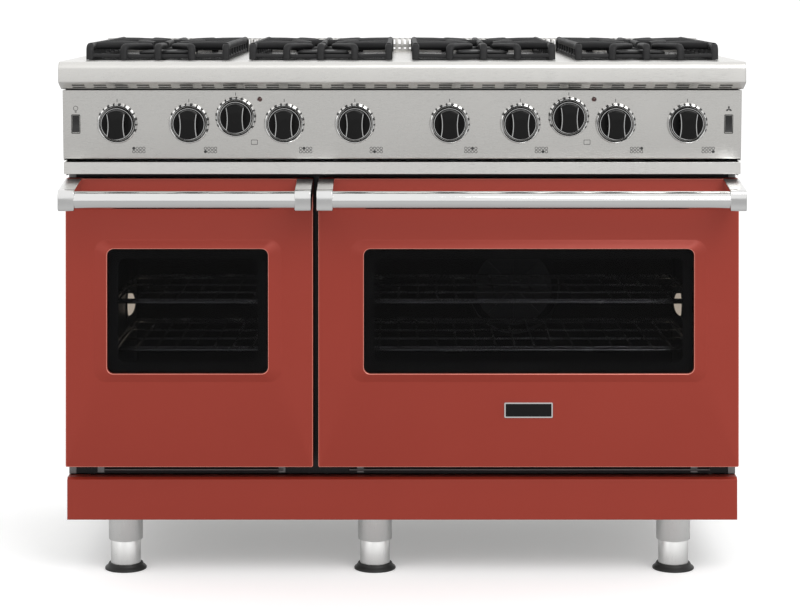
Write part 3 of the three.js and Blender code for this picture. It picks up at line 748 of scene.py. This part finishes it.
# Each ring is its (radius, height) profile carried round a circle. The marks are short arcs laid on its slope
# at equal steps of the dial's arc, thin and bold in turn, and a line above the ring is the knob's index.
def makeBezels(v):
    ring = [
        (31.5, 0.2), (31.5, 5.2), (32.1, 6.6), (33.2, 7.0), (34.2, 6.6), (35.4, 4.0), (36.4, 1.2),
        (36.5, -0.2)
    ]
    parts = []
    for x, z in [(x, knobRow) for x in burnerKnobs.values()] + [(x, ovenRow) for x in ovenKnobs.values()]:
        angle = np.linspace(0, 2 * np.pi, v["sides"], endpoint=False)
        rings = [np.stack([x + r * np.cos(angle), 0 * angle - h, z + r * np.sin(angle)], -1) for r, h in ring]
        parts.append(loft(rings, loop=True))
        turns = np.radians(np.linspace(*v["ovenArc" if z == ovenRow else "burnerArc"]))
        for k, a in enumerate(turns):
            wide = v["thin"] if k % 2 else v["bold"]
            arc = a + np.linspace(-wide, wide, 5)
            rows = [(33.3, -7.12), (34.35, -6.75), (35.55, -4.1), (36.45, -1.3), (36.1, -1.2), (33.3, -6.7)]
            strip = [np.stack([x + r * np.cos(arc), np.full(5, y), z + r * np.sin(arc)], -1) for r, y in rows]
            parts.append(painted(loft(np.array(strip).transpose(1, 0, 2)), 1))
        low, high = [z + up for up in v["index"]]
        parts.append(painted(mark([(x - 0.5, low), (x + 0.5, low), (x + 0.5, high), (x - 0.5, high)]), 1))
    addPiece(
        "knobBezels", [onPanel(part) for part in parts], [chrome, ink], "range_body", sharp=30
    )


knob = {
    "rim": 29.8, "face": 28.2, "depth": 10, "tip": 27.5, "grip": 25.4, "halfEnd": 15.7, "halfWaist": 13.6,
    "wire": 0.85
}


# The grip's half width is halfWaist + (halfEnd - halfWaist) (z / reach)^2, and its ends are arcs of the
# grip radius.
def gripOutline(v, grow=0.0):
    reach = math.sqrt(v["grip"] ** 2 - v["halfEnd"] ** 2)
    z = np.linspace(-reach, reach, 13)
    side = v["halfWaist"] + (v["halfEnd"] - v["halfWaist"]) * (z / reach) ** 2 + grow
    top = np.linspace(math.asin(v["halfEnd"] / v["grip"]), -math.asin(v["halfEnd"] / v["grip"]), 9)[1:-1]
    cap = np.stack([(v["grip"] + grow) * np.sin(top), (v["grip"] + grow) * np.cos(top)], -1)
    return np.vstack([np.stack([side, z], -1), cap, np.stack([-side, -z], -1), -cap])


# The skirt is a turned profile. The grip is its outline lofted outwards while it grows, then shrinks in at
# the tip, with a chrome wire along both long edges and a chrome hoop round the skirt.
def makeKnob(v, name, x, z):
    r, d = v["rim"], v["depth"]
    body = [
        (0, 1.3), (r - 0.6, 1.3), (r, 2), (r, d - 2.2), (r - 0.5, d - 0.9), (r - 1.6, d),
        (v["face"] - 2.4, d - 0.4), (20, d - 1.6), (0, d - 2)
    ]
    steps = [
        (1.2, -6), (0.9, -12), (0.5, -20), (0.1, -v["tip"] + 2), (-0.9, -v["tip"] + 0.5), (-2.2, -v["tip"])
    ]
    grip = loft([place(gripOutline(v, grow), "xz", y) for grow, y in steps])
    outline = gripOutline(v, -0.5)
    parts = [turned(body, sides=72, facing="front"), grip]
    for run in (outline[:13], outline[20:33]):
        path = np.column_stack([run[:, 0], np.full(13, -v["tip"] + 0.9), run[:, 1]])
        parts.append(painted(sweep(path, circle(v["wire"], 8), up=(0, 1, 0)), 1))
    hoop = [(-1.6, -0.7), (-0.9, 0.15), (0.1, 0.1), (0.2, -0.7)]
    hoop = [(v["face"] + out, d + up) for out, up in hoop]
    parts.append(painted(turned(hoop, sides=72, facing="front", loop=True), 1))
    addPiece(
        f"visual_{name}", [onPanel(moved(part, x, 0, z)) for part in parts], [gloss, chrome], name, name,
        sharp=40
    )


rocker = {
    "x": 582.5, "middle": 1.2, "pivotY": 4, "half": 6.3, "high": 15, "rest": -6, "frameHalf": 7,
    "frameHigh": 16.2
}


# The rocker's face is bowed: it lies at -5.2 - 1.6 (z / high)^2. Its side view is turned to its rest angle.
def makeRocker(v, name, side):
    pivotY, half, high, rest = v["pivotY"], v["half"], v["high"], np.radians(v["rest"])
    z = np.linspace(high, -high, 11)
    face = np.stack([-5.2 - 1.6 * (z / high) ** 2, z], -1)
    outline = np.vstack([face, [(4, -high), (4, high)]])
    y, z = outline.T
    outline = np.stack(
        [y * np.cos(rest) - z * np.sin(rest) + pivotY, y * np.sin(rest) + z * np.cos(rest) + v["middle"]], -1
    )
    part = moved(prism(outline, "yz", -half, half), side * v["x"])
    addPiece(f"visual_{name}", [onPanel(part)], rockerPlastic, name, name, bevel=0.6)


signs = {
    "aside": 38, "top": -42.6, "pitch": 6, "rowGap": 5.9, "outer": 2.75, "inner": 1.9, "ovenAside": 33,
    "ovenZ": -31.5, "ovenHalf": (5.5, 4), "bulbZ": 29.5, "fanZ": 28, "lampX": (-254, 342), "lampZ": 46
}


# Printed signs: for each burner a map of two rows of four rings with its own one filled, a rectangle for
# each oven, a lamp over the left switch and a three-bladed fan over the right one.
def makeMarks(v):
    parts = []
    for number, x in burnerKnobs.items():
        for column in range(4):
            for row in range(2):
                cx, cz = x + v["aside"] + (column - 1.5) * v["pitch"], v["top"] - row * v["rowGap"]
                mine = column == (number - 1) // 2 and row == (number - 1) % 2
                parts.append(ringMark(cx, cz, v["outer"], 0.05 if mine else v["inner"]))
    for x in ovenKnobs.values():
        cx, cz = x + v["ovenAside"], v["ovenZ"]
        wide, high = v["ovenHalf"]
        frameRing = lambda grow, y: place(
            roundRect(cx - wide - grow, cx + wide + grow, cz - high - grow, cz + high + grow, 1, 3), "xz", y
        )
        outline = [frameRing(grow, y) for grow, y in ((0.4, 0.05), (0.4, -0.2), (-0.4, -0.2), (-0.4, 0.05))]
        parts.append(loft(outline, loop=True))
    parts.append(ringMark(-rocker["x"], v["bulbZ"], 4.4, 3.5, 28))
    for z0 in (21.8, 23.5):
        parts.append(mark([(-584.2, z0), (-580.8, z0), (-580.8, z0 + 0.9), (-584.2, z0 + 0.9)]))
    for turn in np.radians([90, 210, 330]):
        blade = circle(2.1, 14) * [1.3, 0.75] + [3.0, 0]
        bx, bz = blade.T
        across = bx * np.cos(turn) - bz * np.sin(turn) + rocker["x"]
        parts.append(mark(np.stack([across, bx * np.sin(turn) + bz * np.cos(turn) + v["fanZ"]], -1)))
    addPiece("panelMarks", [onPanel(part) for part in parts], ink, "range_body")
    frames = []
    for x in (-rocker["x"], rocker["x"]):
        z0, z1 = rocker["middle"] - rocker["frameHigh"], rocker["middle"] + rocker["frameHigh"]
        x0, x1 = x - rocker["frameHalf"], x + rocker["frameHalf"]
        edge = lambda grow, y: place(
            roundRect(x0 - grow, x1 + grow, z0 - grow, z1 + grow, 1.6, 3), "xz", y
        )
        border = [edge(0.9, 0.2), edge(0.9, -0.7), edge(0.4, -1.1), edge(0, -0.9), edge(0, 1.5)]
        frames.append(painted(loft(border, loop=True), 2))
    for x in v["lampX"]:
        hoop = [(4.9, -0.2), (4.8, 1.2), (4.2, 1.9), (3.6, 1.4), (3.5, -0.2)]
        dome = [(0, 0.5), (3.5, 0.5), (3.3, 1.6), (2.2, 2.6), (0, 3)]
        frames.append(turned(hoop, x, 0, v["lampZ"], 32, "front"))
        frames.append(painted(turned(dome, x, 0, v["lampZ"], 24, "front"), 1))
    addPiece(
        "switchFrames", [onPanel(part) for part in frames], [chrome, lens, gloss], "range_body",
        sharp=40
    )


makePanel(panel)
makeBezels(bezel)
for number, x in burnerKnobs.items():
    makeKnob(knob, f"knob_burner_{number}", x, knobRow)
for size, x in ovenKnobs.items():
    makeKnob(knob, f"knob_{size}_oven", x, ovenRow)
makeRocker(rocker, "switch_light", -1)
makeRocker(rocker, "switch_fan", 1)
makeMarks(signs)

strip = {"half": 605.5, "front": -285, "back": -262, "bottom": 731.5, "top": 753}


# A channel open to the back, its side view pushed across the width, with two end plates.
def makeVentTrim(v):
    y0, y1, z0, z1 = v["front"], v["back"], v["bottom"], v["top"]
    outline = [
        (y1, z1), (y0, z1), (y0, z0), (y1, z0), (y1, z0 + 1.6), (y0 + 1.6, z0 + 1.6), (y0 + 1.6, z1 - 1.6),
        (y1, z1 - 1.6)
    ]
    ends = [
        prism([(y0 + 1, z0 + 1), (y1, z0 + 1), (y1, z1 - 1), (y0 + 1, z1 - 1)], "yz", x, x + 1.6)
        for x in (-v["half"], v["half"] - 1.6)
    ]
    addPiece(
        "ventTrim", [prism(outline, "yz", -v["half"], v["half"]), *ends], steel, "range_body", "vent_trim",
        bevel=0.7
    )


makeVentTrim(strip)
print("control panel made")

# Doors.

door = {
    "front": -267, "back": -237, "bottom": 203, "top": 722, "sheet": 2, "edge": 2.2, "notch": 8,
    "notchFront": 5
}
pane = {
    "bottom": 372, "top": 596, "radius": 12, "proud": 6, "side": 26, "upright": 17, "border": (8, -19),
    "borderY": (-258.8, -258.5)
}
ovens = {
    "small": {"doorX": (-605.5, -160.5), "paneX": (-530, -241), "mouthX": (-538, -228), "hinge": 58},
    "large": {"doorX": (-151, 605.5), "paneX": (-69, 524), "mouthX": (-93, 547), "hinge": 75},
}


# The pan runs in closed rings: round the edge, over the face, up the raised surround, down to the glass and
# back inside.
def makeDoor(size):
    v, p, oven = door, pane, ovens[size]
    (x0, x1), (g0, g1) = oven["doorX"], oven["paneX"]

    # The door's outline drawn in by the inset.
    def outer(inset, y, radius=2.4):
        outline = roundRect(x0 + inset, x1 - inset, v["bottom"] + inset, v["top"] - inset, radius)
        return place(outline, "xz", y)

    # The glass opening's outline grown at the sides and at top and bottom.
    def around(side, upright, y, radius):
        outline = roundRect(g0 - side, g1 + side, p["bottom"] - upright, p["top"] + upright, radius)
        return place(outline, "xz", y)

    front, e = v["front"], v["edge"]
    turn = np.radians(np.linspace(0, 90, 5))
    rings = [outer(0, v["back"])] + [
        outer(e * (1 - math.cos(a)), front + e * (1 - math.sin(a))) for a in turn
    ]
    for t, rise in ((0, 0), (0.05, 0.012), (0.11, 0.045), (0.18, 0.11), (0.6, 0.555), (1, 1)):
        rings.append(
            around(
                p["side"] + (2.2 - p["side"]) * t, p["upright"] + (2.2 - p["upright"]) * t,
                front - p["proud"] * rise, 24 - 11 * t
            )
        )
    rings += [
        around(1.2, 1.2, front - p["proud"] - 0.25, 12.6), around(0.3, 0.3, front - p["proud"] + 0.2, 12.2),
        around(0, 0, front - p["proud"] + 1.2, p["radius"])
    ]
    rings += [around(0, 0, front + 2.3, p["radius"]), around(4, 4, front + 2.3, p["radius"] + 2)]
    rings += [outer(v["sheet"], front + 2.3), outer(v["sheet"], v["back"])]
    # Each ring's bottom edge gets four points at each hinge, and the inner two step forward on the back
    # rings: that cuts a notch in the bottom flange for the knuckle. addPiece merges the doubled points.
    left, right = rings[0][-1, 0], rings[0][0, 0]
    hinges = [x0 + oven["hinge"], x1 - oven["hinge"]]
    spots = np.array([x + side * v["notch"] for x in hinges for side in (-1, -1, 1, 1)])
    share = ((spots - left) / (right - left))[:, None]
    rings = [np.vstack([ring, ring[-1] + (ring[0] - ring[-1]) * share]) for ring in rings]
    for ring in (rings[0], rings[-1]):
        ring[[-7, -6, -3, -2], 1] = front + v["notchFront"]
    body = f"{size}_door"
    pan = loft(rings, loop=True)
    # The rounded outer edge and the lip round the glass carry a painted highlight in paler enamel, and the
    # inside of the pan is dark.
    special = {2: 1, 3: 1, 12: 1, 13: 1, 15: 2, 16: 2, 17: 2}
    rows = [special.get(row, 0) for row in range(len(rings)) for _ in range(len(rings[0]))]
    addPiece(
        f"{size}DoorPanel", [(*pan, rows)], [enamel, edgeHighlightEnamel, blackEnamel], body, f"{size}_door_panel",
        sharp=28, merge=True
    )
    behind = lambda grow, y: place(
        roundRect(g0 - grow, g1 + grow, p["bottom"] - grow, p["top"] + grow, p["radius"]), "xz", y
    )
    (out, inside), (y0, y1) = p["border"], p["borderY"]
    band = loft([behind(out, y0), behind(out, y1), behind(inside, y1), behind(inside, y0)], loop=True)
    addPiece(f"{size}GlassBorder", [band], ink, body)


grip = {"y": -348, "z": 690.5, "radius": 16, "bracket": 29, "start": -267.3}


# The bracket's side view: a straight slope down from the top of the door, then the block round the bar.
def makeHandle(v, size):
    x0, x1 = ovens[size]["doorX"]
    start = v["start"]
    corner = lambda y, z, r, a0, a1: [
        (y + r * math.cos(a), z + r * math.sin(a)) for a in np.radians(np.linspace(a0, a1, 7))
    ]
    outline = [
        (start, 722), (-350, 710.2), *corner(-356, 701.5, 8, 80, 180), *corner(-358, 678, 6, 180, 270),
        (-338, 672)
    ]
    outline += [(-326, 673.5), (-312, 679), (-298, 687), (-286, 691.5), (-276, 693), (start, 693)]
    satinTop = [1] + [0] * (len(outline) + 1)
    parts = [(*prism(outline, "yz", x, x + v["bracket"]), satinTop) for x in (x0, x1 - v["bracket"])]
    bar = np.column_stack([[x0 + 12, x1 - 12], [v["y"]] * 2, [v["z"]] * 2])
    tube = sweep(bar, circle(v["radius"], 48))
    addPiece(
        f"{size}HandleBrackets", parts, [chrome, satin], f"{size}_door", f"{size}_door_handle",
        bevel=1.6, segments=3, sharp=40
    )
    addPiece(f"{size}HandleBar", [tube], chrome, f"{size}_door", sharp=40)


gasket = {"out": 9, "bottom": 247, "top": 673, "radius": 16, "y": -220, "cord": 1.8}


# The gasket is a round cord that follows the mouth of the oven on the face frame.
def makeGasket(v, size):
    x0, x1 = ovens[size]["mouthX"]
    path = place(roundRect(x0 - v["out"], x1 + v["out"], v["bottom"], v["top"], v["radius"]), "xz", v["y"])
    cord = sweep(path, circle(v["cord"]), closed=True, up=(0, 1, 0))
    addPiece(f"{size}OvenGasket", [cord], glassFibre, "range_body")


frameTrim = {
    "x": (-605.4, 592.4), "width": 13, "y": (-219.6, -218.2), "z": (182, 727), "railY": -220.5, "railZ": 189,
    "railRadius": 2.1
}


# Steel returns of the side panels beside the black face frame, and a drip rail under each door. Both are in
# the dark chassis steel, darker than the side panels' steel: painted shade for the gap under the doors.
def makeFrameTrim(v):
    parts = [slab(x, x + v["width"], *v["y"], *v["z"]) for x in v["x"]]
    y, z = v["railY"], v["railZ"]
    for x0, x1 in (oven["mouthX"] for oven in ovens.values()):
        parts.append(sweep([(x0 - 3, y, z), (x1 + 12, y, z)], circle(v["railRadius"])))
    addPiece("faceFrameTrim", parts, chassisSteelAndGapShade, "range_body", sharp=50)


makeFrameTrim(frameTrim)
for size in ovens:
    makeDoor(size)
    makeHandle(grip, size)
    makeGasket(gasket, size)

badge = {"x": (183, 271), "z": (291.5, 320), "proud": 2.2}


# A blank plate: a chrome frame round a dark recessed field.
def makeBadge(v):
    (x0, x1), (z0, z1) = v["x"], v["z"]
    ring = lambda inset, y: place(
        roundRect(x0 + inset, x1 - inset, z0 + inset, z1 - inset, 2.5 - min(inset, 1.5)), "xz", y
    )
    y = door["front"]
    steps = [(0, -0.2), (0, 1.4), (0.6, v["proud"]), (2.8, v["proud"]), (3.2, 1.3), (3.2, -0.2)]
    plate = loft([ring(inset, y - out) for inset, out in steps], loop=True)
    field = prism(roundRect(x0 + 3, x1 - 3, z0 + 3, z1 - 3, 1), "xz", y + 0.2, y - 1.2)
    addPiece("badgePlate", [plate, painted(field, 1)], [chrome, gloss], "large_door", sharp=30)


makeBadge(badge)
print("doors made")

# Base.

kick = {"half": 605.5, "front": -246, "back": -219.5, "bottom": 103.5, "shoulder": 176, "top": 180.4}


# The side view leans back above the shoulder and is pushed across the width, with two end plates.
def makeKick(v):
    f, b, z0, z1, z2 = v["front"], v["back"], v["bottom"], v["shoulder"], v["top"]
    outline = [
        (b, z2), (f + 5.2, z2), (f, z1), (f, z0), (b, z0), (b, z0 + 1.6), (f + 1.6, z0 + 1.6),
        (f + 1.6, z1 - 1), (f + 6, z2 - 1.6), (b, z2 - 1.6)
    ]
    inner = [(f + 1, z0 + 1), (b, z0 + 1), (b, z2 - 1), (f + 5.6, z2 - 1), (f + 1, z1 - 0.8)]
    ends = [prism(inner, "yz", x, x + 1.6) for x in (-v["half"], v["half"] - 1.6)]
    addPiece(
        "kickPanel", [prism(outline, "yz", -v["half"], v["half"]), *ends], enamel, "range_body", "kick_panel",
        bevel=0.7
    )


makeKick(kick)

base = {"half": 603, "y": (-217.5, 360.5), "z": (110.2, 112), "sleeveSides": 64}
feet = {
    "front_left": (-507, -180), "front_middle": (-50, -180), "front_right": (497, -180),
    "rear_left": (-507, 300), "rear_right": (497, 300)
}


# The floor is one sheet, and each foot's sleeve is its (radius, height) profile carried round a circle.
def makeBase(v):
    parts = [slab(-v["half"], v["half"], *v["y"], *v["z"])]
    sleeve = [
        (28.2, 131), (28.2, 55.6), (28.8, 55), (30.4, 55), (31, 55.8), (31, 109), (34, 110.1), (34, 131)
    ]
    for x, y in feet.values():
        parts.append(painted(turned(sleeve, x, y, sides=v["sleeveSides"], loop=True), 1))
    addPiece("basePan", parts, [steelSide, satin], "range_body", "base_pan", sharp=40)


# A leg tube in a round foot with a flared rim. Its hidden upper end leaves room to go up inside the sleeve.
def makeFoot(spot, x, y):
    rubberPart = [
        (0, 0), (36.6, 0), (37.8, 0.8), (38, 2.6), (37.2, 4.2), (34.2, 6.2), (32, 9), (31.2, 11.4), (30, 12),
        (27, 12.2), (0, 12.2)
    ]
    tube = [(0, 11.8), (27.3, 11.8), (27.3, 68.5), (26.6, 69.5), (0, 69.5)]
    parts = [turned(rubberPart, x, y, sides=64), painted(turned(tube, x, y, sides=64), 1)]
    addPiece(
        f"visual_foot_{spot}", parts, [rubber, satin], f"foot_{spot}", f"foot_{spot}",
        sharp=40
    )


makeBase(base)
for spot, (x, y) in feet.items():
    makeFoot(spot, x, y)

# Inside the ovens.

rack = {
    "front": -180, "back": 225, "wire": 2.2, "frame": 3.0, "spacing": 36, "crossbars": 4, "gap": 4.2,
    "corner": 10, "inset": 14, "heights": {"upper": 491, "lower": 403}
}


# A rounded wire frame, straight bars from front to back every spacing or so, and crossbars under them.
def makeRack(v, size, spot):
    x0, x1 = ovens[size]["mouthX"]
    z = v["heights"][spot] - v["frame"]
    y0, y1 = v["front"] + v["frame"], v["back"] - v["frame"]
    loop = place(roundRect(x0 + v["gap"], x1 - v["gap"], y0, y1, v["corner"], 5), "xy", z)
    parts = [sweep(loop, circle(v["frame"], 8), closed=True)]
    count = int(round((x1 - x0) / v["spacing"]))
    for x in np.linspace(x0 + v["inset"], x1 - v["inset"], count):
        parts.append(sweep([(x, y0, z + 0.7), (x, y1, z + 0.7)], circle(v["wire"], 8)))
    for y in np.linspace(v["front"] + 40, v["back"] - 40, v["crossbars"]):
        parts.append(sweep([(x0 + 6, y, z - 0.6), (x1 - 6, y, z - 0.6)], circle(v["wire"] + 0.1, 8)))
    name = f"{size}_rack_{spot}"
    addPiece(f"visual_{name}", parts, wire, name, name, sharp=50)


for size in ovens:
    for spot in rack["heights"]:
        makeRack(rack, size, spot)

ovenLamp = {"y": 110, "z": 447, "radius": 24, "proud": 15}


# A glass dome in a plated ring on the side wall: its profile is turned about the wall's normal.
def makeOvenLamps(v):
    r, h = v["radius"], v["proud"]
    arc = np.radians(np.linspace(0, 90, 7))
    dome = [(0, 0.4), (r, 0.4), *zip((r * np.cos(arc)).tolist(), (2 + (h - 2) * np.sin(arc)).tolist())]
    ring = [(r + 1, 0.3), (r + 7, 0.3), (r + 7, 2), (r + 4, 3.6), (r + 1, 3.6)]
    walls = ("small", ovens["small"]["mouthX"][0], 1), ("large", ovens["large"]["mouthX"][1], -1)
    for size, wall, side in walls:
        turnedParts = []
        for profile, closed, index in ((dome, False, 1), (ring, True, 0)):
            angle = np.linspace(0, 2 * np.pi, 40, endpoint=False)[None]
            radius, height = np.maximum(np.array(profile).T, 0.01)[..., None]
            across = wall + side * height + 0 * angle
            rings = np.stack([across, v["y"] + radius * np.cos(angle), v["z"] + radius * np.sin(angle)], -1)
            turnedParts.append(painted(loft(rings, loop=closed), index))
        addPiece(f"{size}OvenLamp", turnedParts, [wire, lampGlass], "range_body", sharp=40)


makeOvenLamps(ovenLamp)
print("base and racks made")

# Fasteners.

screws = {"columns": 9, "half": 585, "rows": (122, 880), "y": 363.2}


# Pan-head screws along the top and bottom of the back: (radius, height) of the head, flat end inwards.
def makeScrews(v):
    head = [(0, 0), (3.9, 0), (3.9, 0.9), (3.2, 1.8), (1.8, 2.3), (0, 2.4)]
    parts = []
    for x in np.linspace(-v["half"], v["half"], v["columns"]):
        for z in v["rows"]:
            points, faces = turned(head, sides=16, facing="front")
            parts.append((points * [1, -0.3, 1] + [x, v["y"], z], faces))
    addPiece("panelScrews", parts, zinc, "range_body", sharp=50)


makeScrews(screws)

# Studio.

studio = {
    "camera": (0, -4.4897, 1.0672), "tiltDown": 0.249, "lens": 105.79, "shift": (-0.0028, -0.386),
    "world": 1.1, "key": 75, "fill": 6, "floor": 30,
}


# A long lens with its picture shifted up, a white world, two area lights and one big floor.
def makeStudio(v):
    scene = bpy.context.scene
    camera = bpy.data.objects.new("camera", bpy.data.cameras.new("camera"))
    scene.collection.objects.link(camera)
    camera.location = v["camera"]
    camera.rotation_euler = (math.radians(90 - v["tiltDown"]), 0, 0)
    camera.data.sensor_width = 36
    camera.data.sensor_fit = "HORIZONTAL"
    camera.data.lens = v["lens"]
    camera.data.shift_x, camera.data.shift_y = v["shift"]
    scene.camera = camera
    scene.view_settings.view_transform = "Standard"
    world = bpy.data.worlds.new("studio")
    scene.world = world
    world.use_nodes = True
    world.node_tree.nodes["Background"].inputs["Color"].default_value = (1, 1, 1, 1)
    world.node_tree.nodes["Background"].inputs["Strength"].default_value = v["world"]

    # The lamp turns about Z towards its aim, then tips down by the angle between its way and the vertical.
    def light(name, location, aim, size, power):
        data = bpy.data.lights.new(name, "AREA")
        data.shape = "RECTANGLE"
        data.size, data.size_y = size
        data.energy = power
        lamp = bpy.data.objects.new(name, data)
        scene.collection.objects.link(lamp)
        lamp.location = location
        way = np.array(location, float) - aim
        flat = math.hypot(way[0], way[1])
        lamp.rotation_euler = (math.atan2(flat, way[2]), 0, math.atan2(way[1], way[0]) + math.pi / 2)
        return lamp

    light("key", (1.7, -3.2, 3.2), (0, 0, 0.5), (2.6, 2.2), v["key"])
    light("fill", (-2.8, -3.0, 1.8), (0, 0, 0.5), (1.8, 2.4), v["fill"])

    far = v["floor"]
    mesh = bpy.data.meshes.new("floor")
    mesh.from_pydata([(-far, -far, 0), (far, -far, 0), (far, far, 0), (-far, far, 0)], [], [(0, 1, 2, 3)])
    mesh.materials.append(paleFloor)
    floor = bpy.data.objects.new("floor", mesh)
    scene.collection.objects.link(floor)
    floor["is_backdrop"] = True


makeStudio(studio)
print("studio made")

sizes = {"cad": cadBox, "visual": [list(corner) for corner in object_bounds()]}
